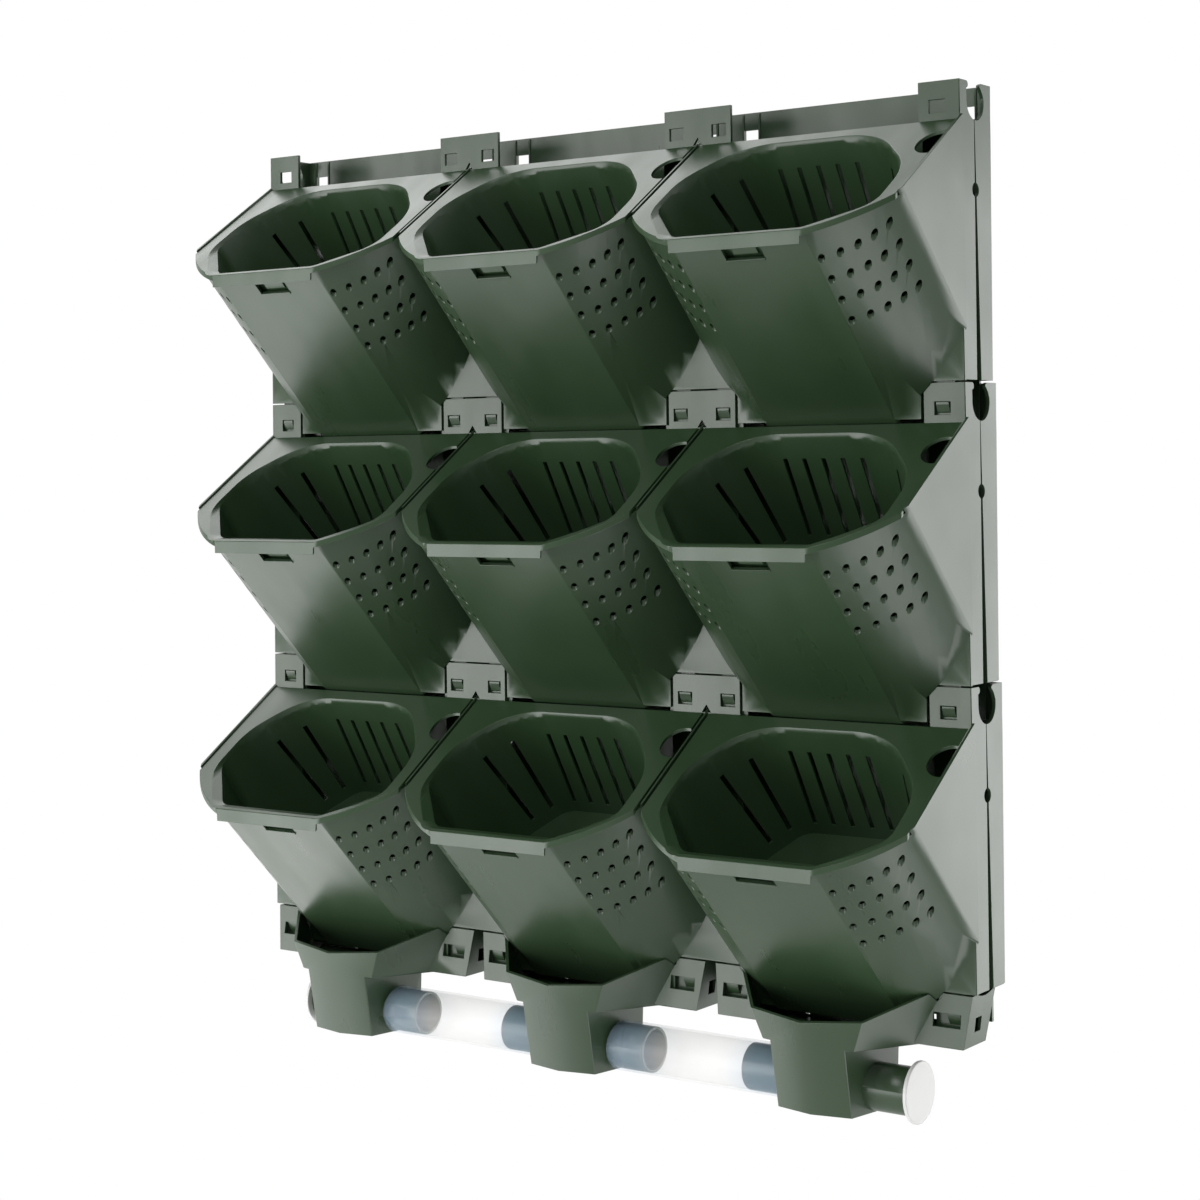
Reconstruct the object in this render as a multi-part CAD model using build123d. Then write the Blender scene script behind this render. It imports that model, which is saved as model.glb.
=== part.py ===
"""Wall-hung vertical planter: stacked rows of pockets with liners, drain collectors, tubes and plugs.

Frame: X to the right along the wall, Y into the wall, Z up, millimetres.  The wall is the plane Y = 0.
Each row is drawn about its own datum: the face of its tabs is y = 0 and the tip of the notch under
the tabs is z = 0.  It is then moved to its place.
"""
from build123d import *
import math
import os

# Layout
COLUMN_NAMES = ("left", "mid", "right")
ROW_NAMES = ("top", "mid", "low")
PITCH_X = 200.0          # between pocket centres along a row
PITCH_Z = 193.0          # between rows
BOX_DEPTH = 45.0         # from the tab face back to the wall
OVER = 1.0               # cutters stand out this far past the faces they cut

# Pocket, measured on its outer faces
SLOPE = 1.005            # rise of the front facet for each unit forward
FACE_HALF = 48.0         # half width of the front facet
FOOT_DROP = 3.0          # foot below the datum of the next row
VALLEY_Z = -136.0        # where two neighbouring pockets meet the plate
BOW = 6.0                # bulge of the chamfers between facet and valley
WALL = 2.2               # pocket facets
WALL_DROP = 3.4          # top of the facets below the deck
PARTITION = 1.5          # wall between two liners
PARTITION_RIM = 0.3      # partition above the deck
END_WALL = 2.2           # triangular wall at each end of a row
END_RIM = 1.2            # end wall above the deck
PLATE = 2.5              # flat plate behind the pockets, and the tabs on it

# Deck of a liner
DECK_TAN = 0.659         # fall of the deck towards the front
DECK_BACK_Z = -5.0       # top of the deck at the tab face
DECK = 2.2               # deck thickness, measured upright
DECK_SIDE_GAP = 0.6      # deck to the end wall
DECK_BACK_GAP = 0.8      # deck to the tab face
LIP_OUT = 0.8            # upright skirt outside the pocket's outline at the deck
LIP = 1.6                # skirt thickness
LIP_DROP = 8.8           # height of the skirt in front
RIM_DROP = 4.0           # height of the skirt along the chamfers

# Cup of a liner
CUP = 1.8                # cup wall
SEAT_GAP = 0.4           # funnel under the mouth to the top of the pocket facets
CUP_GAP = 1.6            # cup to pocket facet at the floor
CUP_DRAFT = 3.0
MOUTH_BACK_Y = -8.5      # straight rear edge of the mouth
RIGHT_BACK_X = 46.0      # right side of the mouth, drawn in to clear the feed hole
RIGHT_BACK_R = 56.0
RIGHT_SIDE_X = 87.5
RIGHT_SHOULDER_Y = -51.0
RIGHT_SHOULDER_R = 58.0
RIGHT_WAIST_Y = -93.0
RIGHT_WAIST_R = 22.0
RIGHT_FRONT_X = 48.0
LEFT_BACK_X = 57.0       # left side of the mouth
LEFT_BACK_R = 48.0
LEFT_SIDE_X = 85.5
LEFT_SHOULDER_Y = -44.0
LEFT_SHOULDER_R = 48.0
LEFT_WAIST_Y = -83.0
LEFT_WAIST_R = 44.0
LEFT_FRONT_X = 56.0
FRONT_R = 13.0           # front corners of mouth and neck
SKIRT_BACK_Y = -48.0     # rear end of the skirt
RIM = 2.2                # mouth inside the skirt's outer face
NECK_IN = 1.5            # neck of the funnel inside the mouth at the sides
NECK_WAIST_IN = 9.0      # and at the waist
NECK_WAIST_R = 21.0
NECK_FRONT_HALF = 50.0
FLOOR_DROP = 106.4       # floor, parallel to the deck and this far below it
FLOOR_BACK_Y = 35.0      # rear edge of the floor, close to the back panel
FLOOR_BACK_HALF = 44.0
FLOOR_SIDE_HALF = 61.0
FLOOR_STEP = 25.0        # rear corners of the floor
FLOOR_BACK_R = 14.0
FLOOR_SIDE_R = 25.0
FLOOR_R = 5.0
SLIT = 3.2               # width of the drain slits
SLIT_CUT = 18.0          # length of their cutters, square to the wall
SLIT_TOP_DROP = 22.0     # slits below the deck, at their top
SLIT_FOOT_DROP = 94.0    # and at their foot
SLIT_COUNT = 5           # in the rear wall
SLIT_PITCH = 14.6
SLIT_MIDDLE = -5.0       # middle slit beside the pocket's middle
CORNER_SLITS = (         # in the rear corners: x, y at the top, x, y at the foot, turn in plan
    (-60.0, -9.0, -48.5, 23.0, -37.0),
    (-72.0, -25.0, -57.5, 12.0, -56.0),
    (56.5, -12.5, 38.5, 27.0, 33.0),
)
FEED_HOLE_R = 12.5       # notch for the feed pipe in the deck's right edge
FEED_HOLE_X = 95.0
FEED_HOLE_Y = -27.0
CATCH_HALF = 9.0         # tongue of the liner behind the catch window
CATCH_GAP = 0.5

# Catch window and perforations
WINDOW_HALF = 14.3
WINDOW_FROM = 12.0       # down the front facet from the deck
WINDOW_LENGTH = 8.6
SILL = 1.6
HOLE_R = 2.2             # drilled upright
HOLE_ROWS = 4
HOLE_COLUMNS = 5
HOLE_DEPTH = 95.3        # first hole ahead of the tab face
HOLE_ROW_PITCH = 12.1
HOLE_INSET = 4.2         # along the bowed chamfer from its front edge
HOLE_COLUMN_PITCH = 13.5
HOLE_SKEW = 0.33

# Tabs and the snap bumps that meet them
TAB_HALF = 27.0
TAB_TOP = 20.0
END_TAB_REACH = 30.5     # end tab, inward from the end wall
CUP_PORT_HALF = 72.0     # opening in the plate for the cup of a liner
CUP_PORT_TOP = -16.0
CUP_PORT_FOOT = -114.0
CHEEK = 2.5              # side cheek thickness
CHEEK_INSET = 1.0        # cheek inside the end wall's outer face
TAB_GAP = 2.0            # plate of the row above, beside a tab
RECESS = 0.5             # pocket of the row above, ahead of a tab
RECESS_TOP = 1.0         # plate of the row above, over a tab
NOTCH_HALF = 3.5
SNAP_IN = 11.5           # snap window, from the row boundary
SNAP_OUT = 23.0
SNAP_LOW = -0.5
SNAP_HIGH = 8.0
SNAP_CLEAR = 1.2         # bump inside its window
SNAP_SEAT = 0.3          # bump under the top edge of its window
TONGUE = 2.0
TONGUE_GAP = 0.5         # tongue behind the tab
TONGUE_DROP = 7.0        # tongue below the datum of the next row
TONGUE_SIDE = 0.8        # tongue past its window, towards the seam
TONGUE_IN = 8.5          # and towards the middle of the pocket
TONGUE_ROOT = 8.0        # tongue on the plate above the tab
SNAP_FACE_Y = 0.0        # face of the bump that looks through the window
SNAP_LAND = 2.0          # flat of that face, under its top edge

# Feed pipe channel in the cheeks
PIPE_Y = 22.0
PIPE_Z = 7.5
PIPE_R = 12.0
CHANNEL_FOOT = 2.4       # parting below the channel
CHANNEL_LIP_R = 2.4      # rounded front lip of the channel
HOOK_TOP = 3.0           # rear lip of the channel, at its top
HOOK = 5.5               # and how far it hooks forward
HOOK_DROP = 3.4          # thickness of the hook
HOOK_FOOT = 3.0          # foot of the hook above the pipe's centre
REBATE = 0.8             # shallow step along the rear edge of the cheek
REBATE_TOP = 1.0
REBATE_FOOT = 3.0
SPLIT_Y = 20.3           # parting of front and rear halves
SPLIT_TOP = 0.6          # width of the parting at the channel
SPLIT_FOOT = 6.0         # and at the foot of the cheek
PORT_R = 4.6             # round port on the parting
PORT_Z = -49.5
CHEEK_GAP = 1.5          # cheek above the cheek of the next row

# Back panel
RAIL = 2.5               # top rail, flat on the wall
RAIL_FOOT_Z = -12.0
PANEL = 2.5              # panel below the rail
PANEL_STEP = 1.2         # panel in front of the next row's rail
JOGGLE = 4.0             # bar that joins rail and panel
RIB = 0.8                # upright ribs beside the rail windows
RIB_WIDTH = 1.5
PANEL_FOOT = 4.0         # panel below the datum of the next row
PANEL_SIDE = 8.0         # lower corners cut away beside the cheeks of the next row
POST_R = 4.5             # locating posts into the housing
PIN_R = 2.5
PIN_CLEAR = 0.1
SOCKET_R = 5.0
SOCKET_LENGTH = 11.5
POST_TOP_Z = -60.0       # behind the seams between pockets
POST_FOOT_Z = -150.0     # behind the pockets
SCREW_X = 100.0
SCREW_Z = -40.0
SCREW_R = 2.75
BOSS_R = 8.0

# Drain collector, about the datum that a fourth row would have
HOPPER_BACK_HALF = 76.0  # rim of the hopper at the tab face
HOPPER_BACK_Z = 23.5
HOPPER_FRONT_HALF = 41.0
HOPPER_FRONT_Y = -43.5
HOPPER_FRONT_Z = 5.4
HOPPER_NOSE_Y = -52.0    # point of the rim's front edge
HOPPER_REAR_Y = 22.0     # rear wall
LEDGE_Z = -14.0          # foot of the hopper
LEDGE_HALF = 59.0
SUMP_NOSE_Y = -40.0      # cup under the hopper, at its foot
SUMP_FOOT_Z = -58.0
SUMP_FRONT_HALF = 28.0
SUMP_BACK_HALF = 37.7
SUMP_BACK_Y = 10.0
SUMP_TAPER = 2.0
WING_ROOT_X = 39.0       # inner end of the wing, in the hopper
WING_TOP_IN = 4.0        # wing inside the row boundary at its top
WING_FOOT_IN = 8.5       # and at its foot
WING_FOOT_Z = -13.0
WING_FRONT_Y = 0.0       # front of the wing at its top
WING_LEAN = 5.0          # and how far it leans out at its foot
WING_BACK_Y = 32.0
WING_BACK_TAPER = 6.0
WING_DIP = 2.0           # hollow in the wing's top edge
WING_DIP_Y = (6.5, 28.0)
WING_WINDOW = 8.0        # window of the wing past the snap, towards the middle
WING_PORT_Y = (8.0, 16.0)
WING_PORT_Z = (-4.0, 5.0)
COLLECTOR_WALL = 2.2
COLLECTOR_CLEAR = 1.0
LAP_GAP = 0.6            # wing ahead of the plate that it laps
SPIGOT_Y = -10.0
SPIGOT_Z = -41.8
SPIGOT_R = 15.3
SPIGOT_BORE_R = 13.3
SPIGOT_REACH = 60.5
STUB_REACH = 40.0        # spigot at the far left, cut short
TUBE_CLEAR = 0.2
TUBE = 1.5
TUBE_GAP = 1.2
PLUG_CLEAR = 0.2
PLUG_SEAT = 0.3
PLUG_FLANGE_R = 19.6
PLUG_FLANGE = 2.7
PLUG_STEM = 14.0
PLUG_WALL = 1.6

# Derived
HALF = PITCH_X / 2
LAST = (len(COLUMN_NAMES) - 1) / 2
END_X = len(COLUMN_NAMES) * HALF
CHEEK_X = END_X - CHEEK_INSET
FOOT_Z = -(PITCH_Z + FOOT_DROP)
SEAM_X = [(i - LAST) * PITCH_X + HALF for i in range(len(COLUMN_NAMES) - 1)]
COLUMN_X = [(i - LAST) * PITCH_X for i in range(len(COLUMN_NAMES))]
POSTS = [(x, POST_TOP_Z) for x in SEAM_X] + [(x, POST_FOOT_Z) for x in COLUMN_X]
DATUM_Z = [((len(ROW_NAMES) - 1) / 2 - i) * PITCH_Z for i in range(len(ROW_NAMES))]
DECK_HALF = HALF - END_WALL - DECK_SIDE_GAP
REACH = (DECK_BACK_Z - FOOT_Z) / (SLOPE + DECK_TAN)
POCKET_TOP = 2 * TAB_TOP
PANEL_BACK_Y = BOX_DEPTH - RAIL - PANEL_STEP
PANEL_FRONT_Y = PANEL_BACK_Y - PANEL
CHEEK_FOOT_Z = TAB_TOP - PITCH_Z + CHEEK_GAP

# The bowed chamfer is a circular arc in the plate's plane, carried forward along the facet's slope
CHORD_X = HALF - FACE_HALF
CHORD_Z = VALLEY_Z - FOOT_Z
CHORD = math.hypot(CHORD_X, CHORD_Z)
BOW_R = (CHORD ** 2 / 4 + BOW ** 2) / (2 * BOW)
BOW_X = FACE_HALF + CHORD_X / 2 - CHORD_Z / CHORD * (BOW_R - BOW)
BOW_Z = FOOT_Z + CHORD_Z / 2 + CHORD_X / CHORD * (BOW_R - BOW)
FACET_STRETCH = math.hypot(1, SLOPE)
BOW_STRETCH = math.sqrt((CHORD_Z / CHORD) ** 2 + (CHORD_X / CHORD * FACET_STRETCH) ** 2)

FORWARD = Vector(0, -1, SLOPE)
FRONT_OUT = Vector(0, -SLOPE, -1).normalized()
DECK_UP = Vector(0, -DECK_TAN, 1).normalized()


def flip(v):
    """The same vector on the other side of the pocket."""
    return Vector(-v.X, v.Y, v.Z)


def trim(solid, point, outward):
    """Cut the solid with a plane and keep what lies behind it."""
    return split(solid, bisect_by=Plane(origin=point, z_dir=outward), keep=Keep.BOTTOM)


def block(x0, x1, y0, y1, z0, z1):
    """Box between two corners."""
    return Pos((x0 + x1) / 2, (y0 + y1) / 2, (z0 + z1) / 2) * Box(x1 - x0, y1 - y0, z1 - z0)


def rod(x, y, z, radius, y0, y1):
    """Round bar along Y."""
    return Pos(x, (y0 + y1) / 2, z) * Rot(90, 0, 0) * Cylinder(radius, y1 - y0)


def bar(x0, x1, y, z, radius):
    """Round bar along X."""
    return Pos((x0 + x1) / 2, y, z) * Rot(0, 90, 0) * Cylinder(radius, x1 - x0)


def plate_yz(points, x0, x1):
    """Flat plate with an outline in Y and Z."""
    face = Plane.YZ * make_face(Polyline(*points, close=True))
    return Pos(x0, 0, 0) * extrude(face, x1 - x0)


def twin(shape):
    """The shape and its mirror image across the pocket's middle plane."""
    return [shape, mirror(shape, about=Plane.YZ)]


def under_deck(solid, rise):
    """Keep what lies below the deck's top face, moved up by rise."""
    return trim(solid, (0, 0, DECK_BACK_Z + rise), DECK_UP)


def over_deck(solid, rise):
    """Keep what lies above the deck's top face, moved up by rise."""
    return trim(solid, (0, 0, DECK_BACK_Z + rise), DECK_UP * -1)


def deck_z(y):
    """Height of the deck's top face."""
    return DECK_BACK_Z + DECK_TAN * y


def facet_foot(grow):
    """Z where the front facet, moved out by grow, meets the plate's plane."""
    return FOOT_Z - grow * FACET_STRETCH


def bow_radius(grow):
    """Radius of the chamfer's arc, moved out by grow."""
    return BOW_R + grow * BOW_STRETCH


def bow_x(foot, grow):
    """X on the right chamfer, moved out by grow, for a height on the plate's plane."""
    return BOW_X + math.sqrt(bow_radius(grow) ** 2 - (foot - BOW_Z) ** 2)


def bow_foot(x, grow):
    """Height on the plate's plane for an x on the right chamfer, moved out by grow."""
    return BOW_Z - math.sqrt(bow_radius(grow) ** 2 - (x - BOW_X) ** 2)


def deck_y(foot):
    """Y where a line that starts at this height on the plate's plane comes up through the deck."""
    return -(DECK_BACK_Z - foot) / (SLOPE + DECK_TAN)


def pocket_block(grow, half, back):
    """Everything inside the front facet and the bowed chamfers, with those faces moved out by grow."""
    radius = bow_radius(grow)
    tip = Vector(0, bow_foot(0, grow))
    angle = math.atan2(tip.Y - BOW_Z, -BOW_X) / 2
    middle = Vector(BOW_X + radius * math.cos(angle), BOW_Z + radius * math.sin(angle))
    side = Vector(BOW_X + radius, BOW_Z)
    top = POCKET_TOP
    edges = [ThreePointArc(tip, middle, side)]
    edges.append(Polyline(side, (side.X, top), (-side.X, top), (-side.X, BOW_Z)))
    edges.append(ThreePointArc((-side.X, BOW_Z), (-middle.X, middle.Y), tip))
    reach = 2 * REACH
    face = Pos(0, back, -SLOPE * back) * (Plane.XZ * make_face(edges))
    solid = extrude(face, reach, dir=FORWARD)
    solid = trim(solid, (0, 0, facet_foot(grow)), FRONT_OUT)
    return solid & block(-half, half, -reach, back, 2 * FOOT_Z, POCKET_TOP)


def perforations():
    """Upright holes through the right chamfer, in rows that follow the deck's edge."""
    holes = []
    start = math.atan2(FOOT_Z - BOW_Z, FACE_HALF - BOW_X)
    for row in range(HOLE_ROWS):
        for column in range(HOLE_COLUMNS):
            over = HOLE_COLUMN_PITCH * column
            angle = start + (HOLE_INSET + over) / BOW_R
            y = -(HOLE_DEPTH - HOLE_ROW_PITCH * row - HOLE_SKEW * over)
            centre = (BOW_X + BOW_R * math.cos(angle), y, BOW_Z + BOW_R * math.sin(angle) - SLOPE * y)
            holes.append(Pos(*centre) * Cylinder(HOLE_R, 8 * WALL))
    return holes


def on_front(along, width, length, inner, outer):
    """Flat block on the front facet, centred across it, between two heights above the facet."""
    edge = Vector(0, deck_y(FOOT_Z), deck_z(deck_y(FOOT_Z)))
    centre = edge - FORWARD.normalized() * (along + length / 2) + FRONT_OUT * ((inner + outer) / 2)
    frame = Plane(origin=centre, x_dir=(1, 0, 0), z_dir=FRONT_OUT)
    return frame * Box(width, length, outer - inner)


def pocket_walls():
    """Front facet and chamfers of one pocket, with the piece of plate behind them."""
    outer = under_deck(pocket_block(0, HALF, PLATE), -WALL_DROP)
    walls = outer - pocket_block(-WALL, PITCH_X, 0)
    holes = perforations()
    walls = walls - holes - [mirror(hole, about=Plane.YZ) for hole in holes]
    sill = on_front(WINDOW_FROM + WINDOW_LENGTH, 2 * WINDOW_HALF, SILL, -WALL, SILL / 2)
    return walls - on_front(WINDOW_FROM, 2 * WINDOW_HALF, WINDOW_LENGTH, -2 * WALL, 2 * WALL) + sill


def side_wall(thickness, rise):
    """Upright wall along the right edge of a pocket."""
    solid = under_deck(pocket_block(0, HALF, PLATE), rise)
    return solid & block(HALF - thickness, HALF, -2 * REACH, PLATE, 2 * FOOT_Z, POCKET_TOP)


def tab_spans():
    """Left and right edge of every tab along a row."""
    spans = [(x - TAB_HALF, x + TAB_HALF) for x in SEAM_X]
    return [(-CHEEK_X, END_TAB_REACH - END_X)] + spans + [(END_X - END_TAB_REACH, CHEEK_X)]


def snap_spans():
    """Left and right edge of every snap window along a row."""
    spans = []
    for x in COLUMN_X:
        spans.append((x - HALF + SNAP_IN, x - HALF + SNAP_OUT))
        spans.append((x + HALF - SNAP_OUT, x + HALF - SNAP_IN))
    return spans


def cheek_split(side):
    """Y of the parting line at the channel and at the foot, for the front (-1) or the rear (+1) half."""
    return SPLIT_Y + side * SPLIT_TOP / 2, SPLIT_Y + side * SPLIT_FOOT / 2


def cheek_bores():
    """Cutters for the pipe channel and the round port of the right cheek."""
    x0 = CHEEK_X - CHEEK - OVER
    x1 = CHEEK_X + OVER
    return [bar(x0, x1, PIPE_Y, PIPE_Z, PIPE_R), bar(x0, x1, SPLIT_Y, PORT_Z, PORT_R)]


def front_cheek():
    """Front half of a side cheek, with its share of the pipe channel."""
    top, foot = cheek_split(-1)
    outline = [(0, TAB_TOP), (PIPE_Y - PIPE_R, TAB_TOP), (PIPE_Y - PIPE_R, PIPE_Z), (top, PIPE_Z)]
    outline += [(top, PIPE_Z - PIPE_R - CHANNEL_FOOT), (foot, CHEEK_FOOT_Z), (0, CHEEK_FOOT_Z)]
    cheek = plate_yz(outline, CHEEK_X - CHEEK, CHEEK_X)
    cheek = cheek + bar(CHEEK_X - CHEEK, CHEEK_X, PIPE_Y - PIPE_R, TAB_TOP - CHANNEL_LIP_R, CHANNEL_LIP_R)
    return cheek - cheek_bores()


def rear_cheek():
    """Rear half of a side cheek, with its share of the pipe channel and a hooked lip."""
    top, foot = cheek_split(1)
    side = PIPE_Y + PIPE_R
    outline = [(BOX_DEPTH, TAB_TOP), (side - HOOK_TOP, TAB_TOP), (side - HOOK, TAB_TOP - HOOK_DROP / 3)]
    outline += [(side - HOOK, TAB_TOP - HOOK_DROP), (side, PIPE_Z + HOOK_FOOT), (side, PIPE_Z), (top, PIPE_Z)]
    outline += [(top, PIPE_Z - PIPE_R - CHANNEL_FOOT), (foot, CHEEK_FOOT_Z)]
    outline += [(PANEL_BACK_Y, CHEEK_FOOT_Z), (BOX_DEPTH, RAIL_FOOT_Z)]
    cheek = plate_yz(outline, CHEEK_X - CHEEK, CHEEK_X)
    high = TAB_TOP + OVER
    low = CHEEK_FOOT_Z - OVER
    rebate = [(BOX_DEPTH - REBATE_TOP, high), (BOX_DEPTH + OVER, high), (BOX_DEPTH + OVER, RAIL_FOOT_Z)]
    rebate += [(PANEL_BACK_Y + OVER, low), (PANEL_BACK_Y - REBATE_FOOT, low)]
    return cheek - plate_yz(rebate, CHEEK_X - REBATE, CHEEK_X + OVER) - cheek_bores()


def snap_bump(x0, x1, rear, face, slope_y):
    """Wedge behind a snap window of the next row, with its flat face under the window's top edge."""
    low = SNAP_LOW - PITCH_Z + SNAP_CLEAR
    high = SNAP_HIGH - PITCH_Z - SNAP_SEAT
    outline = [(rear, high), (face, high), (face, high - SNAP_LAND), (slope_y, low), (rear, low)]
    return plate_yz(outline, x0 + SNAP_CLEAR, x1 - SNAP_CLEAR)


def housing():
    """Front moulding of one row: pockets, plate, tabs, front cheeks and tongues that meet the next row."""
    next_tab = TAB_TOP - PITCH_Z
    tongue_front = PLATE + TONGUE_GAP
    body = block(-CHEEK_X, CHEEK_X, 0, PLATE, FOOT_Z, DECK_BACK_Z - OVER)
    for x0, x1 in tab_spans():
        body = body + block(x0, x1, 0, PLATE, DECK_BACK_Z - 2 * OVER, TAB_TOP)
    for x in SEAM_X:
        notch = Polyline((-NOTCH_HALF, DECK_BACK_Z), (NOTCH_HALF, DECK_BACK_Z), (0, 0), close=True)
        body = body - Pos(x, PLATE + OVER, 0) * extrude(Plane.XZ * make_face(notch), PLATE + 2 * OVER)
    pocket = pocket_walls()
    partition = side_wall(PARTITION / 2, PARTITION_RIM)
    end_wall = side_wall(END_WALL, END_RIM)
    for i, x in enumerate(COLUMN_X):
        right = end_wall if i == len(COLUMN_X) - 1 else partition
        left = mirror(end_wall if i == 0 else partition, about=Plane.YZ)
        body = body + [Pos(x, 0, 0) * piece for piece in (pocket, right, left)]
    for x0, x1 in tab_spans():
        room = block(x0 - TAB_GAP, x1 + TAB_GAP, -RECESS, PLATE + OVER, 2 * FOOT_Z, next_tab + RECESS_TOP)
        body = body - room
    body = body + twin(front_cheek())
    tongues = []
    for x0, x1 in snap_spans():
        middle = min(COLUMN_X, key=lambda x: abs(x - x0))
        left = x0 - (TONGUE_IN if middle < x0 else TONGUE_SIDE)
        right = x1 + (TONGUE_SIDE if middle < x0 else TONGUE_IN)
        foot = -PITCH_Z - TONGUE_DROP
        tongue = block(left, right, PLATE, tongue_front + TONGUE, foot, next_tab + TONGUE_ROOT)
        tongue = tongue - block(left - OVER, right + OVER, 0, tongue_front, 2 * FOOT_Z, next_tab + RECESS_TOP)
        tongues += [tongue, snap_bump(x0, x1, tongue_front + TONGUE / 2, SNAP_FACE_Y, PLATE)]
    body = body + tongues
    for x0, x1 in snap_spans():
        body = body - block(x0, x1, -OVER, PLATE + TONGUE_GAP / 2, SNAP_LOW, SNAP_HIGH)
    cup_port = block(-CUP_PORT_HALF, CUP_PORT_HALF, -OVER, PLATE + OVER, CUP_PORT_FOOT, CUP_PORT_TOP)
    body = body - [Pos(x, 0, 0) * cup_port for x in COLUMN_X]
    sockets = [rod(x, 0, z, SOCKET_R, PLATE / 2, PLATE + SOCKET_LENGTH) for x, z in POSTS]
    bores = [rod(x, 0, z, PIN_R + PIN_CLEAR, PLATE, PLATE + SOCKET_LENGTH + OVER) for x, z in POSTS]
    return body + sockets - bores


def back_panel():
    """Rear moulding of one row: top rail on the wall, panel, rear cheeks, posts and screw bosses."""
    inner = CHEEK_X - CHEEK / 2
    rail_front = BOX_DEPTH - RAIL
    root_y = PANEL_FRONT_Y + PANEL / 2
    joggle_top = RAIL_FOOT_Z + JOGGLE
    body = block(-inner, inner, rail_front, BOX_DEPTH, RAIL_FOOT_Z, TAB_TOP)
    body = body + block(-inner, inner, PANEL_FRONT_Y, BOX_DEPTH, RAIL_FOOT_Z, joggle_top)
    body = body + block(-inner, inner, PANEL_FRONT_Y, PANEL_BACK_Y, -PITCH_Z - PANEL_FOOT, joggle_top)
    corner = block(inner - PANEL_SIDE, inner + OVER, 0, BOX_DEPTH + OVER, -2 * PITCH_Z, CHEEK_FOOT_Z)
    body = body - twin(corner) + twin(rear_cheek())
    ribs = []
    bumps = []
    for x0, x1 in snap_spans():
        for x in (x0 - RIB_WIDTH, x1):
            rib = block(x, x + RIB_WIDTH, rail_front - RIB, BOX_DEPTH - RAIL / 2, joggle_top, TAB_TOP - RIB)
            ribs.append(rib)
        bumps.append(snap_bump(x0, x1, root_y, BOX_DEPTH - RAIL / 2, PANEL_BACK_Y))
    body = body + ribs
    for x0, x1 in snap_spans():
        body = body - block(x0, x1, PANEL_FRONT_Y - OVER, BOX_DEPTH + OVER, SNAP_LOW, SNAP_HIGH)
    body = body + bumps
    shoulder = PLATE + SOCKET_LENGTH + PIN_CLEAR
    posts = []
    for x, z in POSTS:
        posts.append(rod(x, 0, z, POST_R, shoulder, root_y))
        posts.append(rod(x, 0, z, PIN_R, PLATE + OVER, shoulder + OVER))
    body = body + posts + twin(rod(SCREW_X, 0, SCREW_Z, BOSS_R, root_y, BOX_DEPTH))
    return body - twin(rod(SCREW_X, 0, SCREW_Z, SCREW_R, PANEL_FRONT_Y - OVER, BOX_DEPTH + OVER))


def rounded(corners, plane):
    """Closed face through corners given as (x, y, radius), with an arc at each corner."""
    edges = []
    ends = []
    count = len(corners)
    for i, (x, y, radius) in enumerate(corners):
        here = Vector(x, y)
        before = (Vector(*corners[i - 1][:2]) - here).normalized()
        after = (Vector(*corners[(i + 1) % count][:2]) - here).normalized()
        half = math.acos(max(-1.0, min(1.0, before.dot(after)))) / 2
        reach = radius / math.tan(half)
        middle = here + (before + after).normalized() * (radius / math.sin(half) - radius)
        ends.append((here + before * reach, middle, here + after * reach))
    for i in range(count):
        edges.append(ThreePointArc(*ends[i]))
        edges.append(Line(ends[i][2], ends[(i + 1) % count][0]))
    return plane * make_face(edges)


def joined(right, left):
    """Corners of an outline from those of its right half and its mirrored left half, rear to front."""
    return right + [(-x, y, radius) for x, y, radius in reversed(left)]


def deck_plane(drop):
    """Plane of the deck's top face, lowered by drop."""
    return Plane(origin=(0, 0, DECK_BACK_Z - drop), x_dir=(1, 0, 0), z_dir=DECK_UP)


def on_deck(corners):
    """Outline given in plan, stretched to lie on the deck's slope."""
    stretch = math.hypot(1, DECK_TAN)
    return [(x, y * stretch, radius) for x, y, radius in corners]


def lip_face(grow):
    """Plan of the deck out to its front edge, with that edge moved out by grow."""
    front = facet_foot(grow)
    corner = bow_x(front, grow)
    middle = (corner + DECK_HALF) / 2
    right = [(corner, deck_y(front)), (middle, deck_y(bow_foot(middle, grow)))]
    right.append((DECK_HALF, deck_y(bow_foot(DECK_HALF, grow))))
    left = [(-x, y) for x, y in reversed(right)]
    edges = [ThreePointArc(*right), ThreePointArc(*left), Line(left[-1], right[0])]
    edges.append(Polyline(right[-1], (DECK_HALF, -DECK_BACK_GAP), (-DECK_HALF, -DECK_BACK_GAP), left[0]))
    return make_face(edges)


def skirt():
    """Upright lip round the front of the deck, lower along the chamfers."""
    ring = lip_face(LIP_OUT) - lip_face(LIP_OUT - LIP)
    ring = ring - Pos(0, SKIRT_BACK_Y / 2) * Rectangle(2 * PITCH_X, -SKIRT_BACK_Y)
    solid = under_deck(Pos(0, 0, FOOT_Z) * extrude(ring, -FOOT_Z), 0)
    corner = bow_x(facet_foot(LIP_OUT), LIP_OUT)
    front = over_deck(solid, -LIP_DROP) & block(-corner, corner, -2 * REACH, 0, 2 * FOOT_Z, POCKET_TOP)
    return over_deck(solid, -RIM_DROP) + front


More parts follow.
